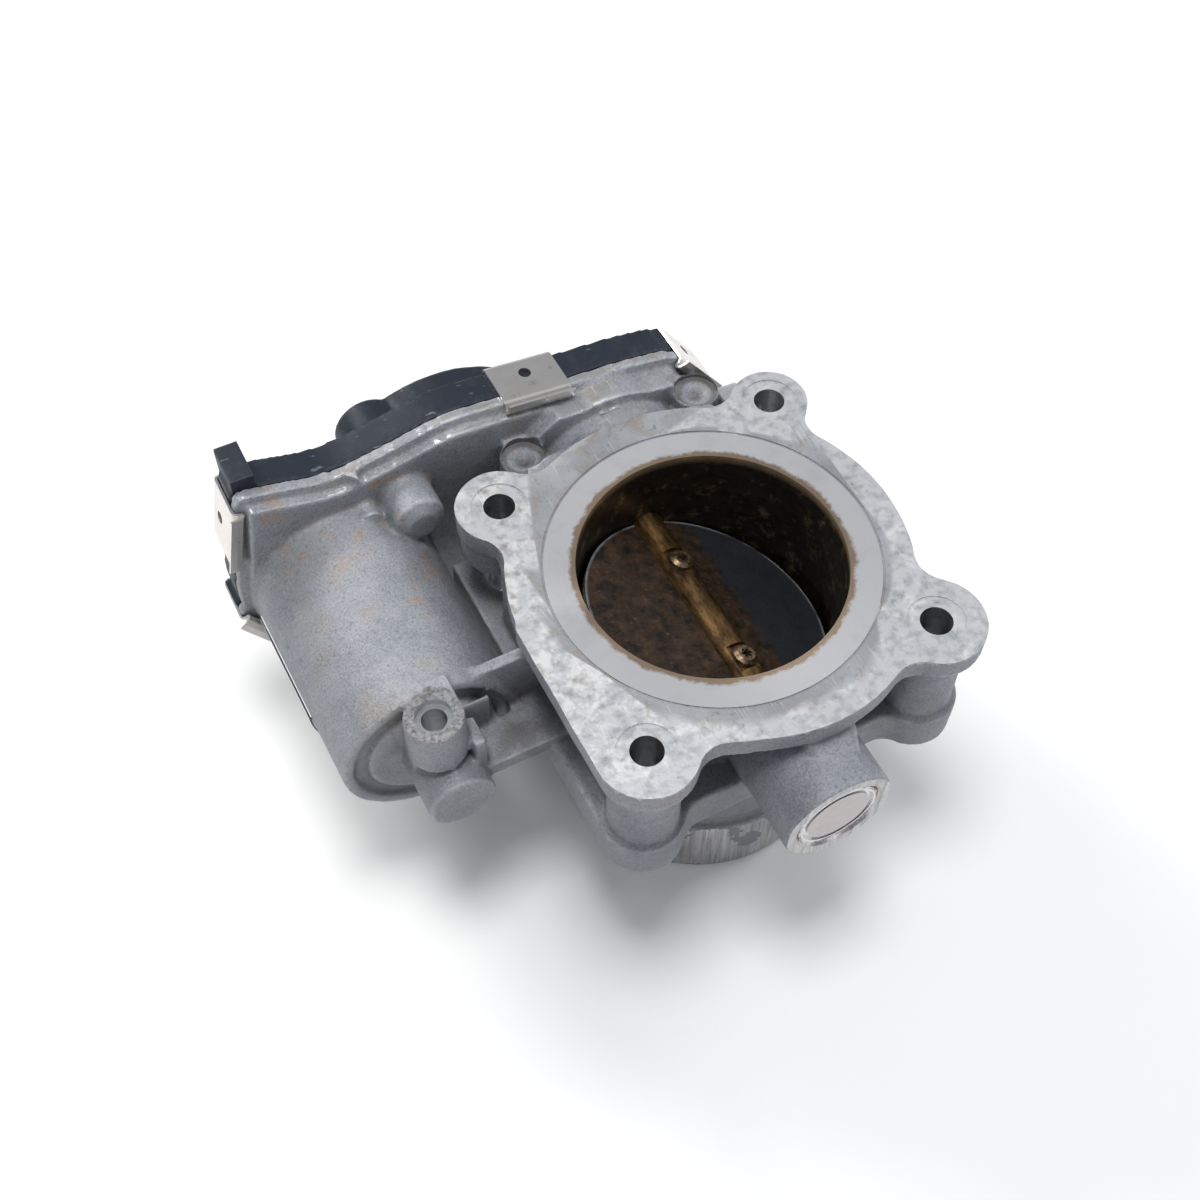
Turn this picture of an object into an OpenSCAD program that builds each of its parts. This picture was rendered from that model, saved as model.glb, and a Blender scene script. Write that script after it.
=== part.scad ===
// Electronic throttle body: cast housing, butterfly valve, two-stage gear train, motor, clipped cover.
// Millimetres. Origin: centre of the air bore on the manifold face. +Z points out of the manifold
// face, the inlet spigot ends at -Z, and the butterfly shaft runs along Y with the gear case at +Y.

/* [Air path] */
// Radius of the air bore
bore_r = 30; // [29.5:0.5:30.5]
// Height from the manifold face to the inlet end
body_h = 82; // [80:1:84]
// Outer radius of the machined inlet spigot
spigot_r = 33.5; // [33:0.5:34]
// Length of the machined inlet spigot
spigot_h = 20; // [18:1:21]

/* [Manifold flange] */
// Distance between neighbouring bolt holes
bolt_pitch = 70; // [69:0.5:71]
// Radius of a bolt hole
bolt_hole_r = 3.6; // [3.3:0.1:3.8]
// Radius of the round flange plate
flange_r = 45.4; // [45:0.2:46]
// Thickness of the flange plate
flange_t = 6; // [5:0.5:7]
// Outer radius of the sealing land round the bore
land_r = 37; // [36:0.5:38]

/* [Butterfly] */
// Depth of the shaft axis below the manifold face
shaft_depth = 21.5; // [21:0.5:22]
// Radius of the shaft
shaft_r = 4; // [3.9:0.1:4.1]
// Angle of the plate at rest, measured from fully across the bore
rest_angle = 21; // [18:1:24]
// Thickness of the plate
plate_t = 1.8; // [1.5:0.1:2]

/* [Motor] */
// Sideways distance of the motor axis from the shaft axis
motor_dx = 68.1; // [67.8:0.1:68.3]
// Depth of the motor axis below the manifold face
motor_depth = 28; // [27.5:0.5:28.5]
// Radius of the motor can
motor_r = 18; // [17:0.5:18]
// Radius of the motor housing at its closed end
motor_case_r = 21.3; // [21.3:0.1:21.8]

/* [Gears] */
// Teeth on the motor pinion
pinion_teeth = 15; // [15:1:15]
// Teeth on the large intermediate gear
large_teeth = 72; // [72:1:72]
// Teeth on the small intermediate gear
small_teeth = 24; // [24:1:24]
// Teeth on the sector gear, counted as a full circle
sector_teeth = 46; // [46:1:46]
// Tooth size of the motor stage
module_1 = 0.8; // [0.8:0.1:0.8]
// Tooth size of the shaft stage
module_2 = 1.0; // [1:0.1:1]

/* [Gear case] */
// Y of the joint between the case and its cover
joint_y = 60; // [60:0.5:60.5]
// Thickness of the case rim that the clips hook behind
rim_t = 3; // [2.8:0.1:3.2]
// Height of the cover's skirt
skirt_h = 8; // [7.8:0.1:8.2]
// Height of the cover's dome above the skirt
dome_h = 11; // [10.8:0.1:11.4]
// Width of a cover clip
clip_w = 17; // [15:0.5:18]

/* [Hidden] */
$fn = 72;

// Axis positions in the X-Z plane, written [x, z]
shaft_c = [0, -shaft_depth];
motor_c = [-motor_dx, -motor_depth];
stage_1 = module_1 * (pinion_teeth + large_teeth) / 2;
stage_2 = module_2 * (small_teeth + sector_teeth) / 2;
span = norm(motor_c - shaft_c);
span_angle = atan2(motor_c[1] - shaft_c[1], motor_c[0] - shaft_c[0]);
mesh_angle = 360 + span_angle
    + acos((stage_2 * stage_2 + span * span - stage_1 * stage_1) / (2 * stage_2 * span));
idler_c = shaft_c + stage_2 * [cos(mesh_angle), sin(mesh_angle)];
motor_mesh_angle = atan2(idler_c[1] - motor_c[1], idler_c[0] - motor_c[0]);

// Flange and bolt columns
half = bolt_pitch / 2;
ear_r = 11;
back_ear_r = 10;
side_x = 46;
column_r = 8;
back_boss_h = 14;
deck_top = 27;
deck_bottom = 37.5;
deck_x = 44.6;
deck_y = 38.3;
deck_foot_r = 9.4;
barrel_r = 34.5;
lower_barrel_r = 33;
neck_r = 32;
neck_h = 4;

// Shaft boss and end plug
boss_r = 13.1;
boss_y = 57.2;
plug_r = 9.7;
needle_r = 6;
needle_y = [-51, -39];
bearing_r = 9.5;
bearing_y = [37, 43];
seal_r = 6.5;
seal_w = 2.5;
run_gap = 0.04;

// Gear case
case_wall = 2.3;
rim_step = 2.2;
case_back_y = 50;
case_floor_y = 53;
shallow_back_y = 54.2;
shallow_floor_y = 56.2;
deep_r = 24.6;
spring_pocket_r = 18.6;
spring_floor_y = 45;
outline_r = [30, 33, 24.7];
cover_back_y = joint_y + skirt_h;
dome_y = cover_back_y + dome_h;

// Motor housing
motor_end_y = 1.2;
motor_cavity_y = 4.6;
motor_case_top_r = 22;
stub_r = 7.8;
stub_y = -15;
contact_c = [-50.3, -8.2];
contact_boss_r = 6.2;
contact_pocket_r = 4;
motor_screw_angles = [68, -62];
motor_screw_radius = 20.3;

// Bracket boss on the end of the motor housing
bracket_c = [-69, -4.8];
bracket_r = 6.6;
bracket_top = -6;
bracket_hole_r = 2.8;
bracket_depth = 10;

// Gears along Y
sector_y = [57.4, 62.4];
small_y = [57.5, 66];
large_y = [66.8, 72];
pinion_y = [66, 73];
lug_angle = 271.5;

// Fixed stop that the sector gear meets when the valve is shut
stop_angle = 300;
stop_radius = 21.5;
stop_c = shaft_c + stop_radius * [cos(stop_angle), sin(stop_angle)];

// Clips: [x, z, direction of the outward normal, length of the hook], on the case outline
clip_places = [
    [-14.7, 4.75, 83.6, 3.4], [27.96, -7.73, 37, 3.4], [-90.35, -5.15, 168.5, 0.8],
    [-89.05, -41.1, 212, 3.4], [-67, -54.7, 250.2, 3.4], [29.75, -25.68, -8, 3.4]
];
clip_t = 0.6;

// Electrical connector and sensor board
shroud_x = 14;
shroud_y = 67.2;
shroud_z = [-72, -46];
shroud_size = [26, 14];
pin_count = 6;
board_y = [64.6, 65.8];
board_screw_places = [[-8.5, -9.8], [13.5, -34]];

// ---------------------------------------------------------------- helpers

// A prism of a shape drawn in the X-Z plane, from y0 to y1
module y_slab(y0, y1) {
    translate([0, y1, 0]) rotate([90, 0, 0]) linear_extrude(y1 - y0) children();
}

// A round bar along Y, centred on c = [x, z]
module y_bar(r, y0, y1, c = [0, 0]) {
    translate([c[0], y1, c[1]]) rotate([90, 0, 0]) cylinder(r = r, h = y1 - y0);
}

// A tube along Y
module y_tube(r_out, r_in, y0, y1, c = [0, 0]) {
    difference() {
        y_bar(r_out, y0, y1, c);
        y_bar(r_in, y0 - 1, y1 + 1, c);
    }
}

// A round bar along Z, from z0 up to z1
module z_bar(r, z0, z1, x = 0, y = 0) {
    translate([x, y, z0]) cylinder(r = r, h = z1 - z0);
}

// A box from one corner to the other
module box(low, high) {
    translate(low) cube(high - low);
}

// Points along an arc, from angle a0 to a1
function arc(c, r, a0, a1, steps) = [for (i = [0:steps]) let (a = a0 + (a1 - a0) * i / steps)
    c + r * [cos(a), sin(a)]];

// A smooth curve through points, for the long edges of the case
function blend(p0, p1, p2, p3, t) = 0.5 * (2 * p1 + (p2 - p0) * t
    + (2 * p0 - 5 * p1 + 4 * p2 - p3) * t * t + (3 * p1 - p0 - 3 * p2 + p3) * t * t * t);
function smooth(p, steps) = [for (i = [0:len(p) - 2]) for (k = [0:steps - 1])
    blend(p[max(i - 1, 0)], p[i], p[i + 1], p[min(i + 2, len(p) - 1)], k / steps)];

// Direction of the outer common tangent's normal between two circles
function heading(c1, c2) = atan2(c2[1] - c1[1], c2[0] - c1[0]);
function tangent(c1, r1, c2, r2) = heading(c1, c2) + acos((r1 - r2) / norm(c2 - c1));

// Outline of a belt round two circles
function belt(c1, r1, c2, r2) = let (a = heading(c1, c2), b = acos((r1 - r2) / norm(c2 - c1)))
    concat(arc(c2, r2, a - b, a + b, 14), arc(c1, r1, a + b, a + 360 - b, 40));

// Outline of a strip of thickness t along a path
function unit(v) = v / norm(v);
function path_normal(p, i) = let (d = unit(p[min(i + 1, len(p) - 1)] - p[max(i - 1, 0)])) [-d[1], d[0]];
function ribbon(p, t) = concat(
    [for (i = [0:len(p) - 1]) p[i] + path_normal(p, i) * t / 2],
    [for (i = [len(p) - 1:-1:0]) p[i] - path_normal(p, i) * t / 2]);

// A wedge of a disc in the X-Z plane, between two radii
function wedge(c, r0, r1, a0, a1) = concat(arc(c, r1, a0, a1, 12), arc(c, r0, a1, a0, 12));

// ---------------------------------------------------------------- gear teeth

// One side of a tooth: involute of the base circle at radius r
function involute(base, r) = let (t = sqrt(max(r * r / (base * base) - 1, 0))) t * 180 / PI - atan(t);

// Half the tooth's angle at radius r, thinned by the backlash
function half_tooth(m, n, r, thin) = let (pitch = m * n / 2, base = pitch * cos(20))
    90 / n - thin / pitch * 90 / PI + involute(base, pitch) - involute(base, max(r, base));

// Outline points of tooth number k
function tooth(m, n, k, thin, add, ded) = let (
        rp = m * n / 2, radii = [rp - ded * m, rp - 0.3 * m, rp + 0.25 * m, rp + add * m],
        mid = 360 * k / n)
    concat(
        [for (r = radii) let (a = mid - half_tooth(m, n, r, thin)) r * [cos(a), sin(a)]],
        [for (i = [3:-1:0]) let (r = radii[i], a = mid + half_tooth(m, n, r, thin)) r * [cos(a), sin(a)]]);

// A toothed disc with tooth 0 centred on the +X direction
module toothed(m, n, first = 0, last = -1, thin = 0.18, add = 0.88, ded = 1.2) {
    top = last < first ? n - 1 : last;
    if (top - first + 1 == n) {
        polygon([for (k = [first:top]) each tooth(m, n, k, thin, add, ded)]);
    } else {
        polygon(concat([[0, 0]], [for (k = [first:top]) each tooth(m, n, k, thin, add, ded)]));
    }
}

// ---------------------------------------------------------------- outlines

module flange_outline() {
    offset(r = -7) offset(delta = 7) union() {
        translate([-0.6, 0]) circle(r = flange_r - 0.5);
        translate([3, -8]) circle(r = 38.6);
        translate([-side_x, -half]) square([side_x, half]);
        for (x = [-1, 1]) {
            translate([x * half, -half]) circle(r = ear_r);
            translate([x * half, half]) circle(r = back_ear_r - (x > 0 ? 1 : 0));
        }
    }
}

module deck_outline() {
    offset(r = -6) offset(delta = 6) union() {
        translate([-deck_x, -half]) square([2 * deck_x - 1, 2 * half + 9]);
        translate([-half, -deck_y]) square([2 * half, deck_y]);
        for (x = [-1, 1]) translate([x * half, -half]) circle(r = deck_foot_r);
    }
}

// The case and cover seen along Y
function case_points() = let (
        s_i = tangent(shaft_c, outline_r[0], idler_c, outline_r[1]),
        i_m = tangent(idler_c, outline_r[1], motor_c, outline_r[2]))
    concat(
        smooth([[-86.5, 6.6], [-79, 4.9], [-66, 1.9], [-52.3, 3.9], [-38, 6.7], [-24, 5.8],
            [-5.3, 3.7], [8.5, 2.5], [21.6, 0.4]], 5),
        [[23.2, -1.6]],
        arc(shaft_c, outline_r[0], 37, s_i, 26),
        arc(idler_c, outline_r[1], s_i, i_m - 360, 8),
        arc(motor_c, outline_r[2], i_m - 360, -192, 26),
        [[-88.3, 5.2]]);

module case_outline() {
    polygon(case_points());
    for (p = clip_places) {
        translate([p[0], p[1]]) rotate(p[2]) translate([-4, -clip_w / 2 - 1]) square([4, clip_w + 2]);
    }
}

module case_inset(d) {
    offset(r = -d) polygon(case_points());
}

module dome_outline(grow = 0) {
    polygon(belt(idler_c, 32.2 + grow, [-27, -1.7], 1.6 + max(grow, -1.5)));
    polygon(belt(idler_c, 14 + grow, motor_c, 10.2 + grow));
    translate(contact_c) circle(r = 8.2 + grow);
}

// ---------------------------------------------------------------- housing

module flange_and_barrel() {
    translate([0, 0, -flange_t]) linear_extrude(flange_t) flange_outline();
    z_bar(barrel_r, -deck_bottom, -flange_t + 1);
    z_bar(lower_barrel_r, -body_h + spigot_h + neck_h, -deck_bottom + 1);
    z_bar(neck_r, -body_h + spigot_h - 1, -body_h + spigot_h + neck_h + 1);
    z_bar(spigot_r, -body_h, -body_h + spigot_h);
    for (x = [-1, 1]) z_bar(column_r, -deck_bottom, -flange_t + 1, x * half, -half);
    z_bar(back_ear_r - 0.4, -back_boss_h, -1, -half, half);
    z_bar(back_ear_r - 1.4, -back_boss_h, -1, half, half);
    translate([0, 0, -deck_bottom]) linear_extrude(deck_bottom - deck_top) intersection() {
        deck_outline();
        translate([-60, -60]) square([120, 110]);
    }
}

// Flat side wall and the ribs that tie the columns to the barrel
module side_walls() {
    box([-40.5, -half, -deck_top - 1], [-28, 24, -flange_t + 1]);
    box([-36, 20, -deck_bottom + 2], [-28, case_back_y + 1, -back_boss_h + 5]);
    box([30, 20, -deck_bottom + 2], [36, case_back_y + 1, -back_boss_h + 5]);
    rotate([0, 0, 45]) box([-half * sqrt(2), -2, -deck_top - 1], [-32, 2, -flange_t + 1]);
    rotate([0, 0, -45]) box([32, -2, -deck_top - 1], [half * sqrt(2), 2, -flange_t + 1]);
}

// Boss for the end plug, with the small wedge that runs up under the flange
module shaft_boss() {
    y_bar(boss_r, -boss_y, -28, shaft_c);
    hull() {
        box([-3, -46, -9], [9, -42, -7]);
        box([4, -55, -11.5], [6, -42, -10.5]);
    }
}

// Stepped round housing of the return spring, behind the flange
module spring_housing() {
    y_bar(15, 28, 41, shaft_c);
    y_bar(19.5, 40, 45, shaft_c);
    y_bar(21.6, 44, 51, shaft_c);
    y_bar(24, 50, joint_y - rim_t, shaft_c);
    translate([0, 0, -7.5]) linear_extrude(6) polygon([[-29, 30], [-24, 44], [-9, 45.5], [10, 45.5],
        [23, 41.5], [29, 34]]);
    for (x = [-1, 1]) {
        z_bar(5.5, -16, -4.6, x * 22.8, 48.2);
        box([x * 22.8 - 2.8, 48.2, -24], [x * 22.8 + 2.8, joint_y - 5, -7]);
    }
}

module gear_case() {
    y_slab(joint_y - rim_t, joint_y) case_outline();
    y_slab(shallow_back_y, joint_y - rim_t + 0.5) case_inset(rim_step);
    y_slab(case_back_y, joint_y - rim_t + 0.5) intersection() {
        case_inset(rim_step);
        translate(shaft_c) circle(r = deep_r + case_wall);
    }
    y_bar(5, case_back_y - 5, shallow_back_y + 1, idler_c);
    y_bar(4.5, case_back_y - 4, case_back_y + 1, stop_c);
    box([-26, 34, -deck_bottom], [28, case_back_y + 1, -deck_top - 1]);
}

module motor_case() {
    translate([motor_c[0], joint_y - rim_t, motor_c[1]]) rotate([90, 0, 0])
        cylinder(r1 = motor_case_top_r, r2 = motor_case_r, h = joint_y - rim_t - motor_end_y);
    y_bar(stub_r, stub_y, motor_end_y + 1, motor_c);
    y_bar(contact_boss_r, 45.5, joint_y - rim_t, contact_c);
    translate([contact_c[0], 45.5, contact_c[1]]) rotate([90, 0, 0])
        cylinder(r1 = contact_boss_r, r2 = contact_boss_r - 2.6, h = 2.2);
    for (a = motor_screw_angles)
        y_bar(3.4, 50, joint_y - rim_t, motor_c + motor_screw_radius * [cos(a), sin(a)]);
}

// Boss for an outside bracket, its gussets, and the web that ties the motor case to the body
module bracket_and_web() {
    z_bar(bracket_r, bracket_top - bracket_depth - 3, bracket_top, bracket_c[0], bracket_c[1]);
    box([bracket_c[0], bracket_c[1], bracket_top - 12], [bracket_c[0] + bracket_r, 4, bracket_top]);
    box([bracket_c[0] - bracket_r + 0.6, bracket_c[1], -26], [bracket_c[0] + bracket_r, 4, bracket_top - 8]);
    box([bracket_c[0] + 4, -0.9, -26], [-54.5, 2, -14.8]);
    box([-62.6, -10.2, -26], [-59.8, -3, -15.2]);
    box([-64, 2.2, -28], [-40, 5, -9.6]);
    box([-61, -11, -29.5], [-40, 5, -25.2]);
}

module housing_cavities() {
    z_bar(bore_r, -body_h - 1, 1);
    for (x = [-1, 1]) for (y = [-1, 1]) {
        z_bar(bolt_hole_r, -deck_bottom - 1, 1, x * half, y * half);
        z_bar(6.4, -0.25, 1, x * half, y * half);
    }
    // sealing land stands 0.25 mm proud of the rest of the face
    difference() {
        translate([0, 0, -0.25]) linear_extrude(2) circle(r = land_r + 0.6);
        z_bar(land_r, -2, 2);
    }
    // shaft bore, seals, bearings and plug
    y_bar(shaft_r + 0.4, -boss_y - 1, spring_floor_y + 2, shaft_c);
    y_bar(seal_r, -bore_r - 7, -bore_r - 7 + seal_w, shaft_c);
    y_bar(seal_r, bore_r + 4, bore_r + 4 + seal_w, shaft_c);
    y_bar(needle_r, needle_y[0], needle_y[1], shaft_c);
    y_bar(plug_r, -boss_y - 1, needle_y[0] + 0.01, shaft_c);
    y_bar(bearing_r, bearing_y[0], spring_floor_y + 1, shaft_c);
    // inside of the gear case
    y_slab(case_floor_y, joint_y + 1) intersection() {
        case_inset(rim_step + case_wall);
        translate(shaft_c) circle(r = deep_r);
    }
    y_slab(shallow_floor_y, joint_y + 1) case_inset(rim_step + case_wall);
    y_slab(joint_y - rim_t, joint_y + 1) case_inset(case_wall + 0.4);
    y_bar(spring_pocket_r, spring_floor_y, case_floor_y + 1, shaft_c);
    // gasket groove
    y_slab(joint_y - 1, joint_y + 1) difference() {
        case_inset(0.6);
        case_inset(2);
    }
    // motor pocket, its rear bush pocket and its screw holes
    y_bar(motor_r + 0.5, motor_cavity_y, joint_y + 1, motor_c);
    y_bar(4.6, -8.5, motor_cavity_y + 1, motor_c);
    for (a = motor_screw_angles)
        y_bar(1.4, 51, joint_y, motor_c + motor_screw_radius * [cos(a), sin(a)]);
    y_bar(contact_pocket_r, 47.5, joint_y, contact_c);
    // groove on the closed end of the motor case
    y_tube(18.6, 15.4, motor_end_y - 1, motor_end_y + 1.9, motor_c);
    // hole for the intermediate pin
    y_bar(2.5, case_back_y - 3.5, joint_y, idler_c);
    // bracket boss hole with its counterbore
    z_bar(bracket_hole_r, bracket_top - bracket_depth, bracket_top + 1, bracket_c[0], bracket_c[1]);
    z_bar(4.1, bracket_top - 1.6, bracket_top + 1, bracket_c[0], bracket_c[1]);
    // dimples in the two cast bosses
    for (x = [-1, 1]) translate([x * 22.8, 48.2, -4.6]) cylinder(r1 = 2.4, r2 = 3.2, h = 1.6, center = true);
    // stop screw hole
    y_bar(2, case_back_y - 5, joint_y, stop_c);
}

module throttle_housing() {
    color([0.72, 0.73, 0.76]) difference() {
        union() {
            flange_and_barrel();
            side_walls();
            shaft_boss();
            spring_housing();
            gear_case();
            motor_case();
            bracket_and_web();
        }
        housing_cavities();
    }
}

// ---------------------------------------------------------------- cover, gasket and clips

module terminal_bars() {
    for (i = [0:pin_count - 1]) {
        x = shroud_x + (i - (pin_count - 1) / 2) * 3.2;
        box([x - 0.7, shroud_y - 0.4, -66], [x + 0.7, shroud_y + 0.4, -35.8]);
        box([x - 0.4, board_y[0] - 0.6, -36.8], [x + 0.4, shroud_y, -35.8]);
    }
}

module cover_solid() {
    y_slab(joint_y, cover_back_y) case_outline();
    y_slab(cover_back_y - 1, dome_y - 1.6) dome_outline();
    y_slab(dome_y - 2, dome_y - 0.6) dome_outline(-0.6);
    y_slab(dome_y - 2, dome_y) dome_outline(-1.6);
    box([-87.6, joint_y, -8], [-82, joint_y + 11, 9.5]);
    // connector shroud with its collar
    box([shroud_x - shroud_size[0] / 2, shroud_y - shroud_size[1] / 2, shroud_z[0]],
        [shroud_x + shroud_size[0] / 2, shroud_y + shroud_size[1] / 2, shroud_z[1] + 6]);
    box([shroud_x - shroud_size[0] / 2 - 1.2, shroud_y - shroud_size[1] / 2, shroud_z[1] - 8],
        [shroud_x + shroud_size[0] / 2 + 1.2, shroud_y + shroud_size[1] / 2 + 1.2, shroud_z[1] - 5.5]);
    // latch ramp and stiffening ribs
    box([shroud_x - 3, shroud_y + shroud_size[1] / 2 - 1, -64],
        [shroud_x + 3, shroud_y + shroud_size[1] / 2 + 1.8, -61]);
    for (x = [4, 14, 24]) box([x - 0.8, cover_back_y - 1, -44], [x + 0.8, cover_back_y + 2, -12]);
    box([-1, cover_back_y - 1, -15], [26, cover_back_y + 2, -13.4]);
}

module gear_cover() {
    color([0.15, 0.17, 0.2]) difference() {
        union() {
            difference() {
                cover_solid();
                y_slab(joint_y - 1, cover_back_y - 2.2) case_inset(2.2);
                y_slab(joint_y, dome_y - 2.2) dome_outline(-2);
                box([shroud_x - shroud_size[0] / 2 + 2, shroud_y - shroud_size[1] / 2 + 2, shroud_z[0] - 1],
                    [shroud_x + shroud_size[0] / 2 - 2, shroud_y + shroud_size[1] / 2 - 2, -55]);
            }
            y_bar(5, 73.8, dome_y - 1, idler_c);
            for (p = board_screw_places) y_bar(2.6, board_y[1], cover_back_y - 0.2, p);
        }
        y_bar(2.5, 70, 76, idler_c);
        for (p = board_screw_places) y_bar(1, board_y[0], cover_back_y - 0.8, p);
        terminal_bars();
    }
}

module cover_gasket() {
    color([0.1, 0.1, 0.1]) y_slab(joint_y - 1, joint_y) difference() {
        case_inset(0.6);
        case_inset(2);
    }
}

// One clip: hooks over the cover, runs down the skirt, curls behind the case rim and ends in a lip
module cover_clips() {
    color([0.78, 0.75, 0.7]) for (p = clip_places) {
        path = [[-p[3], 68.45], [-0.6, 68.7], [0.2, 68.5], [0.5, 67.9], [0.5, 57.2], [0.35, 56.7],
            [-0.4, 56.3], [-1.3, 56.2], [-1.6, 55.8], [-1.1, 55.1], [0.2, 54.6], [1.7, 54.4]];
        translate([p[0], 0, p[1]]) rotate([0, -p[2], 0]) difference() {
            linear_extrude(clip_w, center = true) polygon(ribbon(path, clip_t));
            translate([-1, 64, 0]) rotate([0, 90, 0]) cylinder(r = 1.5, h = 3);
            for (z = [-1, 1]) translate([-6, 66.5, z * clip_w / 2 - 1.5]) cube([5.2, 4, 3]);
        }
    }
}

// ---------------------------------------------------------------- connector and sensor

module connector_terminals() {
    color([0.8, 0.68, 0.4]) terminal_bars();
}

module sensor_board() {
    color([0.1, 0.35, 0.2]) difference() {
        y_slab(board_y[0], board_y[1])
            polygon([[-13, -34], [-9, -38], [19, -38], [23.6, -33], [23.6, -20],
                [17, -7], [-10, -7], [-13, -10]]);
        for (p = board_screw_places) y_bar(1, board_y[0] - 1, board_y[1] + 1, p);
        terminal_bars();
    }
}

module sensor_chips() {
    color([0.08, 0.08, 0.08]) {
        for (x = [-4.5, 4.5])
            box([x - 2.5, board_y[0] - 1.1, shaft_c[1] - 3.5], [x + 2.5, board_y[0], shaft_c[1] + 3.5]);
        for (z = [-14, -17, -28]) box([12, board_y[0] - 0.8, z - 0.6], [14, board_y[0], z + 0.6]);
    }
}

module board_screws() {
    color([0.7, 0.7, 0.72]) for (p = board_screw_places) difference() {
        union() {
            y_bar(1, board_y[0], cover_back_y - 0.8, p);
            y_bar(2, board_y[0] - 1.2, board_y[0], p);
        }
        y_bar(0.8, board_y[0] - 2, board_y[0] - 0.5, p);
    }
}

// ---------------------------------------------------------------- motor, fixed parts

module motor_can() {
    color([0.7, 0.71, 0.73]) {
        y_tube(motor_r, motor_r - 1.2, 6.6, 52, motor_c);
        y_tube(motor_r, 3.4, 5.6, 6.8, motor_c);
        y_tube(4.3, 3.4, -0.5, 5.8, motor_c);
    }
}

module motor_magnets() {
    color([0.3, 0.3, 0.32]) for (a = [-67, 113])
        y_slab(10, 42) polygon(wedge(motor_c, 12.6, motor_r - 1.2, a, a + 134));
}

module motor_end_cap() {
    color([0.12, 0.12, 0.13]) difference() {
        union() {
            y_bar(motor_r, 52, shallow_floor_y, motor_c);
            for (a = motor_screw_angles) {
                e = motor_c + motor_screw_radius * [cos(a), sin(a)];
                y_slab(shallow_floor_y, shallow_floor_y + 1.2) polygon(belt(motor_c, 9, e, 3.2));
            }
            for (x = [-1, 1]) box([motor_c[0] + x * 9 - 3.5, 42.5, motor_c[1] - 3.4],
                [motor_c[0] + x * 9 + 3.5, 52.5, motor_c[1] + 3.4]);
        }
        y_bar(2.5, 40, 60, motor_c);
        y_bar(3.4, 52.6, 56, motor_c);
        for (a = motor_screw_angles) y_bar(1.4, 50, 60, motor_c + motor_screw_radius * [cos(a), sin(a)]);
        for (x = [-1, 1])
            box([motor_c[0] + x * 8 - 5, 44, motor_c[1] - 2], [motor_c[0] + x * 8 + 5, 49, motor_c[1] + 2]);
        contact_strips();
    }
}

module motor_brushes() {
    color([0.15, 0.15, 0.16]) for (x = [-1, 1]) box([motor_c[0] + x * 8.3 - 3.4, 44, motor_c[1] - 2],
        [motor_c[0] + x * 8.3 + 3.4, 49, motor_c[1] + 2]);
}

// Two strips from the end cap to the plug contacts in the cover
module contact_strips() {
    d = unit(contact_c - motor_c);
    side = [-d[1], d[0]];
    for (s = [-1, 1]) {
        foot = motor_c + 12 * d + s * 1.9 * side;
        tip = contact_c + s * 1.9 * side;
        y_slab(shallow_floor_y + 0.6, shallow_floor_y + 1.2)
            polygon([foot - 0.9 * side, foot + 0.9 * side, tip + 0.9 * side, tip - 0.9 * side]);
        y_slab(50, 63.5) polygon([for (q = [[-1, -1], [1, -1], [1, 1], [-1, 1]])
            tip + q[0] * 0.9 * side + q[1] * 0.3 * d]);
    }
}

module motor_contacts() {
    color([0.8, 0.65, 0.35]) contact_strips();
}

module motor_screws() {
    color([0.7, 0.7, 0.72]) for (a = motor_screw_angles) {
        e = motor_c + motor_screw_radius * [cos(a), sin(a)];
        difference() {
            union() {
                y_bar(1.4, 51, shallow_floor_y + 1.2, e);
                y_bar(2.6, shallow_floor_y + 1.2, shallow_floor_y + 2.8, e);
            }
            y_bar(1.2, shallow_floor_y + 1.8, shallow_floor_y + 4, e);
        }
    }
}

// Wavy ring between the motor can and the floor of its pocket
module motor_wave_washer() {
    steps = 48;
    rings = [[9, 0], [15, 0], [15, 0.4], [9, 0.4]];
    points = [for (i = [0:steps - 1]) each [for (r = rings) let (a = 360 * i / steps,
        y = motor_cavity_y + 0.31 + 0.29 * sin(3 * a) + r[1] - 0.01)
        [motor_c[0] + r[0] * cos(a), y, motor_c[1] + r[0] * sin(a)]]];
    faces = [for (i = [0:steps - 1]) each [for (k = [0:3])
        let (a = 4 * i, b = 4 * ((i + 1) % steps), m = (k + 1) % 4)
        [a + k, a + m, b + m, b + k]]];
    color([0.65, 0.65, 0.68]) polyhedron(points, faces, convexity = 6);
}

module motor_bushes() {
    color([0.75, 0.6, 0.35]) {
        y_tube(3.4, 2 + run_gap, -0.5, 4.5, motor_c);
        y_tube(3.4, 2 + run_gap, 52.6, 56, motor_c);
    }
}

// A blank label wrapped on the lower outer side of the motor housing
module motor_label() {
    slope = (motor_case_top_r - motor_case_r) / (joint_y - rim_t - motor_end_y);
    low_r = motor_case_r + slope * (20 - motor_end_y);
    high_r = motor_case_r + slope * (51 - motor_end_y);
    color([0.92, 0.92, 0.9]) intersection() {
        translate([motor_c[0], 51, motor_c[1]]) rotate([90, 0, 0]) difference() {
            cylinder(r1 = high_r + 0.25, r2 = low_r + 0.25, h = 31);
            translate([0, 0, -0.01]) cylinder(r1 = high_r, r2 = low_r, h = 31.02);
        }
        y_slab(20, 51) polygon(concat([motor_c], arc(motor_c, 40, 181, 236, 8)));
    }
}

// ---------------------------------------------------------------- shaft bearings and seals

module intermediate_pin() {
    color([0.8, 0.8, 0.82]) y_bar(2.5, case_back_y - 3.5, 76, idler_c);
}

module bearing_outer_race() {
    color([0.78, 0.78, 0.8]) y_tube(bearing_r, 8.05, bearing_y[0], bearing_y[1], shaft_c);
}

module bearing_inner_race() {
    color([0.78, 0.78, 0.8]) y_tube(5.1, shaft_r, bearing_y[0], bearing_y[1], shaft_c);
}

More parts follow.
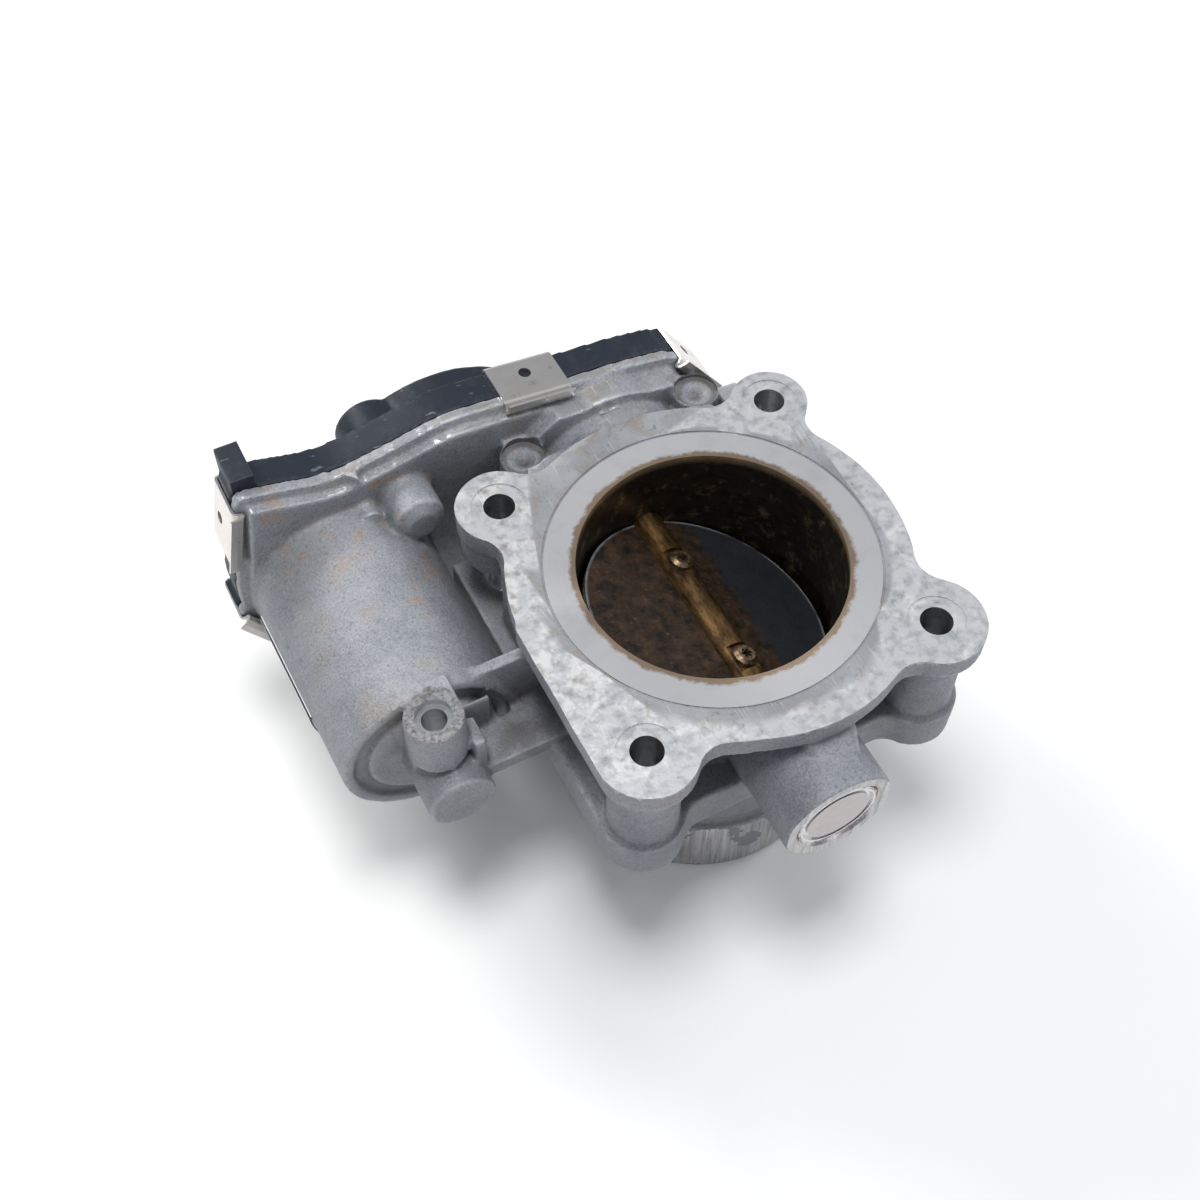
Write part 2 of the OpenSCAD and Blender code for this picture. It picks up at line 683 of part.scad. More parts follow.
module bearing_balls() {
    color([0.85, 0.85, 0.87]) for (i = [0:7]) translate([shaft_c[0] + 6.75 * cos(45 * i), 40,
        shaft_c[1] + 6.75 * sin(45 * i)]) sphere(r = 1.3, $fn = 32);
}

module bearing_cage() {
    color([0.75, 0.6, 0.35]) difference() {
        y_tube(7.2, 6.3, 38.2, 41.8, shaft_c);
        for (i = [0:7]) translate([shaft_c[0], 40, shaft_c[1]]) rotate([0, 45 * i, 0])
            translate([4, 0, 0]) rotate([0, 90, 0]) cylinder(r = 1.4, h = 5);
    }
}

module bearing_circlip() {
    color([0.6, 0.6, 0.62]) difference() {
        y_tube(bearing_r, 7.9, bearing_y[1], bearing_y[1] + 1.2, shaft_c);
        box([-1.5, bearing_y[1] - 1, -12 - shaft_depth], [1.5, bearing_y[1] + 2, -6 - shaft_depth]);
    }
}

module needle_cup() {
    color([0.75, 0.76, 0.78]) difference() {
        y_bar(needle_r, needle_y[0], needle_y[1], shaft_c);
        y_bar(5.15, needle_y[0] + 0.9, needle_y[1] - 0.9, shaft_c);
        y_bar(shaft_r + run_gap, needle_y[0] - 1, needle_y[1] + 1, shaft_c);
    }
}

module needle_rollers() {
    color([0.85, 0.85, 0.87]) for (i = [0:11]) y_bar(0.4, needle_y[0] + 1, needle_y[1] - 1,
        shaft_c + 4.75 * [cos(30 * i), sin(30 * i)]);
}

module shaft_seals() {
    color([0.1, 0.1, 0.1]) for (y = [-bore_r - 7, bore_r + 4])
        y_tube(seal_r, shaft_r + run_gap, y, y + seal_w, shaft_c);
}

// Pressed steel plug: raised rim, shallow groove, flat middle
module end_plug() {
    color([0.75, 0.72, 0.72]) difference() {
        y_bar(plug_r, -boss_y + 0.5, needle_y[0] - 2, shaft_c);
        y_tube(8.7, 7.6, -boss_y - 1, -boss_y + 1.2, shaft_c);
        y_bar(5, -boss_y + 3.5, needle_y[0] - 1, shaft_c);
    }
}

module stop_screw() {
    color([0.7, 0.7, 0.72]) difference() {
        y_bar(2, case_back_y - 5, sector_y[0] - 0.6, stop_c);
        y_bar(1.1, case_back_y - 6, case_back_y - 3, stop_c);
    }
}

// Torsion spring round the sector gear's hub, with one leg at each end
module return_spring() {
    turns = 3.75;
    steps = 90;
    sides = 8;
    wire = 0.8;
    coil = 13.4;
    y0 = spring_floor_y + 1.2;
    y1 = case_floor_y + 0.4;
    a0 = lug_angle + 8 - 360 * turns;
    points = [for (i = [0:steps]) each [for (k = [0:sides - 1]) let (a = a0 + 360 * turns * i / steps,
        b = 360 * k / sides, r = coil + wire * cos(b), y = y0 + (y1 - y0) * i / steps + wire * sin(b))
        [shaft_c[0] + r * cos(a), y, shaft_c[1] + r * sin(a)]]];
    side_faces = [for (i = [0:steps - 1]) each [for (k = [0:sides - 1])
        let (a = sides * i, b = a + sides, m = (k + 1) % sides)
        [a + k, b + k, b + m, a + m]]];
    ends = [[for (k = [0:sides - 1]) k], [for (k = [sides - 1:-1:0]) sides * steps + k]];
    color([0.55, 0.55, 0.58]) {
        polyhedron(points, concat(side_faces, ends), convexity = 10);
        y_bar(wire - 0.05, y1 - 0.3, sector_y[0] - 0.4,
            shaft_c + coil * [cos(lug_angle + 8), sin(lug_angle + 8)]);
    }
}

// ---------------------------------------------------------------- butterfly valve

module tilted() {
    translate([0, 0, shaft_c[1]]) rotate([0, rest_angle, 0]) children();
}

module throttle_shaft() {
    color([0.62, 0.48, 0.28]) difference() {
        y_bar(shaft_r, -50, 60, shaft_c);
        tilted() {
            // slot for the plate, seats for the screw heads, screw holes
            translate([-shaft_r - 1, -bore_r + 0.3, -plate_t / 2])
                cube([2 * shaft_r + 2, 2 * bore_r - 0.6, plate_t]);
            for (y = [-14.8, 14.8]) {
                translate([-shaft_r - 1, y - 3.6, 2.8]) cube([2 * shaft_r + 2, 7.2, 3]);
                translate([0, y, -5]) cylinder(r = 1.5, h = 10);
            }
        }
    }
}

module throttle_plate() {
    color([0.25, 0.22, 0.19]) tilted() difference() {
        translate([0, 0, -plate_t / 2]) cylinder(r = bore_r - 0.3, h = plate_t);
        for (y = [-14.8, 14.8]) translate([0, y, -2]) cylinder(r = 1.5, h = 4);
    }
}

module plate_screws() {
    color([0.55, 0.5, 0.42]) tilted() for (y = [-14.8, 14.8]) difference() {
        union() {
            translate([0, y, -3.6]) cylinder(r = 1.5, h = 6.4);
            translate([0, y, 2.8]) cylinder(r = 2.9, h = 1.1);
            translate([0, y, 3.9]) cylinder(r1 = 2.9, r2 = 2.1, h = 0.7);
        }
        for (a = [0, 60, 120]) translate([0, y, 3.8]) rotate(a) cube([2.7, 0.75, 2], center = true);
    }
}

// ---------------------------------------------------------------- gears

module sector_gear() {
    color([0.85, 0.83, 0.78]) difference() {
        union() {
            y_slab(sector_y[0], sector_y[1]) translate(shaft_c) rotate(mesh_angle)
                toothed(module_2, sector_teeth, -2, 9);
            y_bar(10.5, 46.6, sector_y[1] + 0.6, shaft_c);
            y_slab(54.5, sector_y[1]) polygon(wedge(shaft_c, 8, 22, 266, lug_angle + 4));
        }
        y_bar(5.8, 46, 60, shaft_c);
        y_bar(4.6, 60, 64, shaft_c);
        y_slab(sector_y[0] - 1, sector_y[0] + 1.2) polygon(wedge(shaft_c, 12, 19, 186, 262));
        y_slab(sector_y[1] - 1.2, sector_y[1] + 1) polygon(wedge(shaft_c, 12, 19, 186, 262));
    }
}

module sector_insert() {
    color([0.7, 0.7, 0.72]) y_tube(5.8, shaft_r, 46, 60, shaft_c);
}

module sensor_magnet() {
    color([0.25, 0.25, 0.27]) y_bar(4.6, 60, 62.8, shaft_c);
}

module intermediate_gear() {
    color([0.85, 0.83, 0.78]) difference() {
        union() {
            y_slab(small_y[0], small_y[1]) translate(idler_c)
                rotate(mesh_angle + 180 + 180 / small_teeth) toothed(module_2, small_teeth);
            y_slab(large_y[0], large_y[1]) translate(idler_c)
                rotate(motor_mesh_angle + 180) toothed(module_1, large_teeth);
            y_bar(11, small_y[1] - 0.5, large_y[0] + 0.5, idler_c);
            y_bar(5.5, small_y[0] - 0.8, 73.3, idler_c);
        }
        y_bar(2.5 + run_gap, 50, 80, idler_c);
        y_tube(25.5, 13, large_y[1] - 1.6, 80, idler_c);
        y_tube(25.5, 13, large_y[0] - 0.1, large_y[0] + 1.4, idler_c);
        for (i = [0:5]) y_bar(3.4, 60, 80, idler_c + 19 * [cos(60 * i), sin(60 * i)]);
    }
}

module motor_pinion() {
    color([0.75, 0.62, 0.35]) difference() {
        y_slab(pinion_y[0], pinion_y[1]) translate(motor_c)
            rotate(motor_mesh_angle + 180 / pinion_teeth) toothed(module_1, pinion_teeth);
        y_bar(2, 60, 80, motor_c);
    }
}

// ---------------------------------------------------------------- motor rotor

module motor_shaft() {
    color([0.78, 0.78, 0.8]) y_bar(2, -6, pinion_y[1], motor_c);
}

// One winding slot of the rotor, opening at the rim
module rotor_slots(grow) {
    for (i = [0:4]) translate(motor_c) rotate(72 * i) {
        translate([4.8 - grow, -1.6 - grow]) square([5.2 + 2 * grow, 3.2 + 2 * grow]);
        if (grow == 0) translate([9, -0.5]) square([5, 1]);
    }
}

module rotor_core() {
    color([0.5, 0.5, 0.52]) y_slab(13, 38) difference() {
        translate(motor_c) circle(r = 12.1);
        translate(motor_c) circle(r = 2);
        rotor_slots(0);
    }
}

module rotor_windings() {
    color([0.7, 0.4, 0.2]) {
        y_slab(13, 38) rotor_slots(-0.15);
        y_tube(10.6, 3.6, 9.6, 13, motor_c);
        y_tube(10.6, 5.6, 38, 41.4, motor_c);
    }
}

module commutator() {
    color([0.75, 0.5, 0.3]) difference() {
        y_bar(4.5, 38, 50, motor_c);
        y_bar(2, 37, 51, motor_c);
        for (i = [0:4]) translate([motor_c[0], 42, motor_c[1]]) rotate([0, 72 * i + 36, 0])
            translate([3.4, 0, -0.25]) cube([3, 9, 0.5]);
    }
}

// ---------------------------------------------------------------- choose a node

throttle_housing();
gear_cover();
cover_gasket();
cover_clips();
connector_terminals();
sensor_board();
sensor_chips();
board_screws();
motor_can();
motor_magnets();
motor_end_cap();
motor_brushes();
motor_contacts();
motor_screws();
motor_wave_washer();
motor_bushes();
intermediate_pin();
bearing_outer_race();
bearing_balls();
bearing_cage();
bearing_circlip();
needle_cup();
needle_rollers();
shaft_seals();
end_plug();
stop_screw();
motor_label();
return_spring();
throttle_shaft();
throttle_plate();
plate_screws();
sector_gear();
sector_insert();
sensor_magnet();
bearing_inner_race();
intermediate_gear();
motor_shaft();
rotor_core();
rotor_windings();
commutator();
motor_pinion();
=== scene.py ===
import math

import bmesh
import bpy
import numpy as np
from mathutils import Matrix


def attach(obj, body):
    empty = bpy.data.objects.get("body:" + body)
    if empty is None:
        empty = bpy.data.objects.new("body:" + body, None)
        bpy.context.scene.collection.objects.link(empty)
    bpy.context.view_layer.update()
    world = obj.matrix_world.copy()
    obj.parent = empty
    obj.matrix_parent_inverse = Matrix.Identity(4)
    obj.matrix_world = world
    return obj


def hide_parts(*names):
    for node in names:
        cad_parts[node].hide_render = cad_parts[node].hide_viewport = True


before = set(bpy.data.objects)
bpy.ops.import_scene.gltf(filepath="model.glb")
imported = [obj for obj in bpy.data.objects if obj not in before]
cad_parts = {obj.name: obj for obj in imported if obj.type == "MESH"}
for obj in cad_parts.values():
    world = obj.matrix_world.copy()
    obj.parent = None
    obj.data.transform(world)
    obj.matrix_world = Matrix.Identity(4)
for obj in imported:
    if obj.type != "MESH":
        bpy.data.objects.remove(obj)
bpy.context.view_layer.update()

MM = 0.001
scene = bpy.context.scene
scene.view_settings.view_transform = "Standard"


# ------------------------------------------------------------------ camera, floor and light

AZIMUTH, ELEVATION, ROLL = (math.radians(a) for a in (-27.92, 55.22, 0.89))
VIEW_OFFSET = (-24.61, -8.35, 348.92)    # the camera's place to its own right, up and back, in mm
LENS, SENSOR = 48.0, 36.0


def photo_camera():
    """The camera at the photograph's viewing angle."""
    back = np.array([math.sin(AZIMUTH) * math.cos(ELEVATION),
                     -math.cos(AZIMUTH) * math.cos(ELEVATION), math.sin(ELEVATION)])
    right = np.cross((0, 0, 1), back)
    right /= np.linalg.norm(right)
    up = np.cross(back, right)
    rows = np.stack([math.cos(ROLL) * right + math.sin(ROLL) * up,
                     -math.sin(ROLL) * right + math.cos(ROLL) * up, back])
    place = rows.T @ np.array(VIEW_OFFSET) * MM
    data = bpy.data.cameras.new("camera")
    data.lens, data.sensor_width = LENS, SENSOR
    data.clip_start, data.clip_end = 0.01, 20.0
    cam = bpy.data.objects.new("camera", data)
    scene.collection.objects.link(cam)
    matrix = np.eye(4)
    matrix[:3, :3], matrix[:3, 3] = rows.T, place
    cam.matrix_world = Matrix(matrix.tolist())
    scene.camera = cam


def area_light(name, place, target, size, power, colour=(1, 1, 1)):
    """A soft round light at a place, facing the target."""
    data = bpy.data.lights.new(name, "AREA")
    data.shape, data.size = "DISK", size
    data.energy, data.color = power, colour
    lamp = bpy.data.objects.new(name, data)
    scene.collection.objects.link(lamp)
    z = np.array(place, float) - np.array(target, float)
    z /= np.linalg.norm(z)
    x = np.cross((0, 1, 0), z)
    x /= np.linalg.norm(x)
    y = np.cross(z, x)
    aim = np.eye(4)
    aim[:3, 0], aim[:3, 1], aim[:3, 2], aim[:3, 3] = x, y, z, place
    lamp.matrix_world = Matrix(aim.tolist())


photo_camera()
CENTRE = (-0.02, 0.01, -0.03)    # what the lights face, in metres
area_light("key", (-0.35, 0.75, 0.50), CENTRE, 0.30, 4.5, (1, 0.99, 0.97))
area_light("top", (-0.08, -0.02, 0.85), CENTRE, 0.30, 4.5)
area_light("fill", (-0.8, -0.1, 0.6), CENTRE, 0.6, 0.3, (0.90, 0.95, 1))
area_light("rim", (0.75, 0.1, 0.45), CENTRE, 0.35, 2.2, (0.97, 0.98, 1))
area_light("front", (0.25, -0.8, 0.35), CENTRE, 0.35, 0.5)
world = bpy.data.worlds.new("studio")
scene.world = world
world.use_nodes = True
sky = world.node_tree.nodes["Background"].inputs
sky["Color"].default_value = (0.93, 0.95, 1.0, 1)
sky["Strength"].default_value = 0.36


# ------------------------------------------------------------------ places in the CAD model, in mm

BORE_R, BOLT_R, SPIGOT_R, PLUG_SEAT_R = 30, 3.6, 33.5, 9.7
GROOVE = (37, 37.6)              # the fine groove round the sealing land
BOLTS = [(x, y) for x in (-35, 35) for y in (-35, 35)]
STUDS = [(x, 48.2) for x in (-22.8, 22.8)]
SHAFT_AXIS = (0, -21.5)          # x and z; the shaft runs along y
BRACKET = (-69, -4.8)            # x and y of the bracket boss, whose face is at BRACKET_TOP
BRACKET_TOP = -6
SPIGOT_TOP, SPIGOT_END = -61.5, -82
BOSS_FACE = -57.2                # y of the shaft boss's end
STOCK_TOP = 2.5                  # how high metal stands before the flange is milled to z = 0
FLOOR_TOP = -82.05


# ------------------------------------------------------------------ shader helpers

class Shader:
    """A material graph with short calls, with lengths in mm in the object's own space."""

    def __init__(self, name):
        self.mat = bpy.data.materials.new(name)
        self.mat.use_nodes = True
        self.tree = self.mat.node_tree
        self.tree.nodes.clear()
        self.out = self.add("ShaderNodeOutputMaterial")
        self.bsdf = self.add("ShaderNodeBsdfPrincipled")
        self.tree.links.new(self.bsdf.outputs[0], self.out.inputs[0])
        coord = self.add("ShaderNodeTexCoord")
        self.mm = self.vector("MULTIPLY", coord.outputs["Object"], (1000, 1000, 1000))
        self.xyz = self.add("ShaderNodeSeparateXYZ")
        self.link(self.mm, self.xyz.inputs[0])
        self.x, self.y, self.z = self.xyz.outputs

    def add(self, kind):
        return self.tree.nodes.new(kind)

    def link(self, value, socket):
        """Joins a node's output to a socket, or sets the socket's own number or colour."""
        if hasattr(value, "is_output"):
            self.tree.links.new(value, socket)
        elif isinstance(value, tuple) and len(value) == 3 and len(socket.default_value) == 4:
            socket.default_value = (*value, 1)
        else:
            socket.default_value = value

    def vector(self, op, a, b):
        n = self.add("ShaderNodeVectorMath")
        n.operation = op
        self.link(a, n.inputs[0])
        self.link(b, n.inputs[1])
        return n.outputs[0]

    def math(self, op, a, b=0.0, clamp=False):
        n = self.add("ShaderNodeMath")
        n.operation, n.use_clamp = op, clamp
        for value, socket in zip((a, b), n.inputs):
            self.link(value, socket)
        return n.outputs[0]

    def times(self, a, b):
        return self.math("MULTIPLY", a, b)

    def plus(self, a, b, clamp=False):
        return self.math("ADD", a, b, clamp)

    def minus(self, a, b):
        return self.math("SUBTRACT", a, b)

    def noise(self, size, detail=3.0, rough=0.55, stretch=(1, 1, 1), warp=0.0, seed=0.0):
        """Noise whose features are about `size` mm across."""
        n = self.add("ShaderNodeTexNoise")
        at = self.vector("MULTIPLY", self.mm, tuple(s / size for s in stretch))
        if seed:
            at = self.vector("ADD", at, (seed, seed * 1.7, -seed))
        self.link(at, n.inputs["Vector"])
        n.inputs["Scale"].default_value = 1.0
        n.inputs["Detail"].default_value = detail
        n.inputs["Roughness"].default_value = rough
        n.inputs["Distortion"].default_value = warp
        return n.outputs["Fac"]

    def noise_at(self, vector, detail):
        n = self.add("ShaderNodeTexNoise")
        self.link(vector, n.inputs["Vector"])
        n.inputs["Scale"].default_value = 1.0
        n.inputs["Detail"].default_value = detail
        return n.outputs["Fac"]

    def pits(self, size, seed):
        """Distance to the nearest of scattered points about `size` mm apart."""
        n = self.add("ShaderNodeTexVoronoi")
        at = self.vector("MULTIPLY", self.mm, (1 / size,) * 3)
        self.link(self.vector("ADD", at, (seed, seed, seed)), n.inputs["Vector"])
        n.inputs["Scale"].default_value = 1.0
        return n.outputs["Distance"]

    def step(self, value, low, high):
        """0 below low, 1 above high, straight in between."""
        n = self.add("ShaderNodeMapRange")
        n.clamp = True
        self.link(value, n.inputs["Value"])
        n.inputs["From Min"].default_value = low
        n.inputs["From Max"].default_value = high
        return n.outputs[0]

    def mix(self, fac, a, b):
        """Colour a where fac is 0, colour b where it is 1."""
        n = self.add("ShaderNodeMix")
        n.data_type = "RGBA"
        self.link(fac, n.inputs[0])
        self.link(a, n.inputs[6])
        self.link(b, n.inputs[7])
        return n.outputs[2]

    def radius(self, x0=0.0, y0=0.0, plane="xy"):
        """Distance from the line through (x0, y0) that stands square on the plane."""
        pairs = ((self.x, x0), (self.y if plane == "xy" else self.z, y0))
        return self.math("SQRT", self.plus(*(self.math("POWER", self.minus(v, v0), 2.0)
                                             for v, v0 in pairs)))

    def distance(self, place):
        n = self.add("ShaderNodeVectorMath")
        n.operation = "DISTANCE"
        self.link(self.mm, n.inputs[0])
        n.inputs[1].default_value = place
        return n.outputs["Value"]

    def near(self, place, reach):
        """1 at a place, falling to 0 at a distance of reach mm."""
        return self.step(self.distance(place), reach, 0.0)

    def attribute(self, name):
        n = self.add("ShaderNodeAttribute")
        n.attribute_name = name
        return n.outputs["Fac"]

    def finish(self, colour, rough, metal, height, bump, spec=0.5, aniso=0.0):
        """The material, with a bump of up to `bump` mm made from height."""
        b = self.bsdf
        self.link(colour, b.inputs["Base Color"])
        self.link(rough, b.inputs["Roughness"])
        self.link(metal, b.inputs["Metallic"])
        b.inputs["Specular IOR Level"].default_value = spec
        n = self.add("ShaderNodeBump")
        n.inputs["Strength"].default_value = 1.0
        n.inputs["Distance"].default_value = bump * MM
        self.link(height, n.inputs["Height"])
        self.link(n.outputs[0], b.inputs["Normal"])
        if aniso:
            b.inputs["Anisotropic"].default_value = aniso
            t = self.add("ShaderNodeTangent")
            t.direction_type, t.axis = "RADIAL", "Z"
            self.link(t.outputs[0], b.inputs["Tangent"])
        return self.mat


# ------------------------------------------------------------------ materials

def cast_material():
    """Die-cast aluminium: blue-grey, sandy grain, tan mottles, rust specks, grime, painted shade.
    """
    s = Shader("cast_aluminium")
    broad = s.step(s.noise(26, 3, 0.6), 0.3, 0.7)
    fine = s.step(s.noise(4.5, 6, 0.7, seed=3), 0.3, 0.72)
    colour = s.mix(broad, (0.150, 0.163, 0.188), (0.300, 0.315, 0.340))
    colour = s.mix(s.times(fine, 0.45), colour, (0.37, 0.38, 0.40))
    tan = s.times(s.step(s.noise(15, 5, 0.7, warp=0.6, seed=8), 0.54, 0.72), 0.55)
    colour = s.mix(tan, colour, (0.30, 0.255, 0.205))
    by_case = s.plus(s.near((-58, 42, -8), 26), s.near((-52, 26, -12), 16), clamp=True)
    rust_zone = s.plus(by_case, s.times(s.step(s.y, 44, 55), 0.6), clamp=True)
    rust = s.times(s.step(s.noise(7, 4, 0.6, seed=21), 0.56, 0.70), rust_zone)
    colour = s.mix(s.times(rust, 0.9), colour, (0.40, 0.215, 0.115))
    sand = s.step(s.noise(0.5, 2, 0.5, seed=5), 0.35, 0.7)
    colour = s.mix(s.times(sand, 0.26), colour, (0.60, 0.61, 0.64))
    pepper = s.step(s.noise(0.8, 3, 0.6, seed=41), 0.56, 0.66)
    colour = s.mix(s.times(pepper, 0.35), colour, (0.085, 0.085, 0.095))
    relief = s.attribute("relief")
    # Painted shade: the hollows of the casting darkened in patches, following the relief attribute.
    grime_and_painted_shade = s.times(s.step(relief, 0.485, 0.36), s.step(s.noise(5, 5, 0.7, seed=12), 0.2, 0.5))
    colour = s.mix(s.times(grime_and_painted_shade, 0.8), colour, (0.115, 0.105, 0.10))
    worn = s.times(s.step(relief, 0.55, 0.66), s.step(s.noise(2.2, 4, 0.6, seed=30), 0.3, 0.55))
    colour = s.mix(s.times(worn, 0.6), colour, (0.66, 0.67, 0.69))
    oil = s.times(s.near((-50, -5, -24), 15), s.step(s.noise(6, 4, 0.6, seed=17), 0.3, 0.55))
    colour = s.mix(s.times(oil, 0.85), colour, (0.10, 0.088, 0.080))
    # Painted shade: the casting darker towards the bottom and towards the front.
    low_painted_shade = s.times(s.step(s.z, -12, -40), s.step(s.y, 40, 0))
    colour = s.mix(s.times(low_painted_shade, 0.4), colour, (0.11, 0.115, 0.13))
    dents = s.step(s.pits(5.5, seed=2), 0.0, 0.12)
    grain = s.times(s.noise(0.42, 3, 0.6, seed=5), 0.8)
    height = s.plus(s.plus(grain, s.noise(2.4, 4, 0.6)), s.times(dents, 0.5))
    rough = s.step(s.noise(7, 4, 0.6, seed=9), -1.2, 1.9)
    return s.finish(colour, rough, 0.35, height, 0.2, 0.4)


def flange_material():
    """The milled flange face: pale, with brownish smears, dull patches and light scratches."""
    s = Shader("milled_face")
    broad = s.step(s.noise(14, 4, 0.6, seed=2), 0.35, 0.65)
    colour = s.mix(broad, (0.335, 0.35, 0.37), (0.465, 0.48, 0.505))
    left = s.step(s.minus(s.y, s.times(s.x, 1.3)), -20, 40)
    smear = s.plus(s.noise(7.5, 7, 0.72, warp=0.8, seed=6), s.times(left, 0.07))
    smear = s.step(smear, 0.53, 0.66)
    colour = s.mix(s.times(smear, 0.8), colour, (0.25, 0.225, 0.20))
    spots = s.step(s.noise(1.6, 4, 0.6, seed=11), 0.60, 0.70)
    colour = s.mix(s.times(spots, 0.6), colour, (0.17, 0.145, 0.12))
    rim = s.times(s.step(s.attribute("relief"), 0.53, 0.60), s.step(s.noise(2.5, 4), 0.3, 0.55))
    colour = s.mix(s.times(rim, 0.7), colour, (0.74, 0.75, 0.76))
    scratch = s.step(s.noise(1.0, 2, 0.4, stretch=(3.2, 0.12, 1), seed=4), 0.66, 0.70)
    colour = s.mix(s.times(scratch, 0.35), colour, (0.82, 0.82, 0.83))
    rough = s.plus(s.times(smear, 0.22), 0.30)
    height = s.plus(s.times(s.noise(0.8, 3, 0.6), 0.6), s.times(s.noise(6, 3), 1.5))
    return s.finish(colour, rough, 0.55, height, 0.07, 0.5)


def land_material():
    """The turned sealing land: bright, fine tool rings, brown varnish along the bore edge."""
    s = Shader("turned_land")
    r = s.radius()
    at = s.add("ShaderNodeCombineXYZ")
    s.link(s.times(r, 5.0), at.inputs[0])
    rings = s.noise_at(at.outputs[0], 4)
    colour = s.mix(rings, (0.70, 0.71, 0.725), (0.82, 0.83, 0.84))
    cloud = s.step(s.noise(9, 5, 0.65, seed=3), 0.5, 0.72)
    colour = s.mix(s.times(cloud, 0.30), colour, (0.52, 0.52, 0.52))
    edge = s.plus(s.times(s.noise(5.5, 5, 0.75, seed=1), 3.6), s.noise(1.1, 3, 0.6, seed=14))
    varnish = s.step(s.minus(s.minus(r, 29.2), edge), 0.25, -0.6)
    colour = s.mix(s.times(varnish, 0.85), colour, (0.20, 0.115, 0.045))
    rough = s.plus(s.times(rings, 0.10), 0.17)
    rough = s.plus(rough, s.times(varnish, 0.15))
    return s.finish(colour, rough, 0.75, rings, 0.012, 0.5, 0.6)


def bore_material():
    """The bore wall: brown varnish at the mouth, then soot with faint oily bands."""
    s = Shader("sooted_bore")
    deep = s.step(s.z, -0.4, -2.6)
    mottled = s.step(s.noise(5, 6, 0.7, stretch=(1, 1, 1.6), seed=5), 0.35, 0.7)
    soot = s.mix(mottled, (0.010, 0.009, 0.0085), (0.040, 0.026, 0.015))
    varnish = s.mix(s.noise(2.5, 5, 0.7, seed=2), (0.50, 0.40, 0.26), (0.16, 0.085, 0.03))
    ragged = s.times(deep, s.step(s.noise(4, 4, 0.7, seed=9), 0.1, 0.45))
    colour = s.mix(ragged, varnish, soot)
    clean = s.step(s.z, -58, -66)
    colour = s.mix(s.times(clean, 0.8), colour, (0.30, 0.29, 0.28))
    rough = s.step(s.noise(9, 4, 0.6, seed=7), -0.2, 1.7)
    return s.finish(colour, rough, 0.45, s.noise(0.9, 4, 0.6), 0.05, 0.5)


def drilled_material():
    """Bright drilled walls with faint tool rings and some grime."""
    s = Shader("drilled_holes")
    uneven = s.noise(2.2, 4, 0.6, stretch=(1, 1, 0.3))
    colour = s.mix(uneven, (0.34, 0.35, 0.37), (0.62, 0.63, 0.65))
    grime_and_painted_shade = s.step(s.noise(3, 4, 0.6, seed=8), 0.5, 0.7)
    colour = s.mix(s.times(grime_and_painted_shade, 0.5), colour, (0.16, 0.14, 0.125))
    rings = s.noise(0.35, 2, 0.5, stretch=(0.05, 0.05, 1))
    return s.finish(colour, 0.30, 0.9, rings, 0.03)


def turned_material():
    """Turned outside faces: spigot and boss ends, with streaks along the wall."""
    s = Shader("turned_spigot")
    streak = s.noise(0.9, 4, 0.7, stretch=(1, 1, 0.04), seed=4)
    colour = s.mix(s.step(streak, 0.3, 0.7), (0.26, 0.25, 0.25), (0.66, 0.66, 0.67))
    stain = s.step(s.noise(8, 5, 0.7, seed=6), 0.52, 0.72)
    colour = s.mix(s.times(stain, 0.4), colour, (0.34, 0.28, 0.22))
    rough = s.plus(s.times(streak, 0.22), 0.18)
    return s.finish(colour, rough, 0.92, s.noise(0.5, 2, 0.5, stretch=(0.1, 0.1, 1)), 0.02)


def cover_material():
    """Glass-filled plastic, nearly black with a blue cast, rubbed paler in places."""
    s = Shader("cover_plastic_look")
    colour = s.mix(s.noise(18, 4, 0.6), (0.010, 0.014, 0.022), (0.018, 0.025, 0.038))
    dust = s.step(s.noise(6, 7, 0.75, seed=4), 0.50, 0.78)
    colour = s.mix(s.times(dust, 0.22), colour, (0.10, 0.12, 0.145))
    scuff = s.step(s.noise(1.3, 3, 0.5, stretch=(0.25, 1, 2.2), warp=0.3, seed=9), 0.68, 0.74)
    colour = s.mix(s.times(scuff, 0.5), colour, (0.22, 0.25, 0.28))
    worn = s.step(s.attribute("relief"), 0.60, 0.80)
    colour = s.mix(s.times(worn, 0.25), colour, (0.11, 0.13, 0.15))
    rough = s.plus(s.times(s.noise(3, 5, 0.6, seed=2), 0.25), 0.36)
    height = s.plus(s.noise(0.35, 2, 0.5), s.times(s.noise(3, 3), 0.8))
    return s.finish(colour, rough, 0.0, height, 0.05, 0.28)


def clip_material():
    """Bright rolled spring steel with brown stains."""
    s = Shader("clip_spring_steel")
    grain = s.noise(0.5, 3, 0.6, stretch=(0.05, 1, 0.05))
    colour = s.mix(s.noise(8, 5, 0.65), (0.60, 0.575, 0.55), (0.80, 0.78, 0.75))
    stain = s.step(s.noise(3.2, 5, 0.7, seed=5), 0.60, 0.72)
    colour = s.mix(s.times(stain, 0.5), colour, (0.25, 0.185, 0.14))
    rough = s.plus(s.times(grain, 0.12), 0.24)
    return s.finish(colour, rough, 0.95, grain, 0.01)


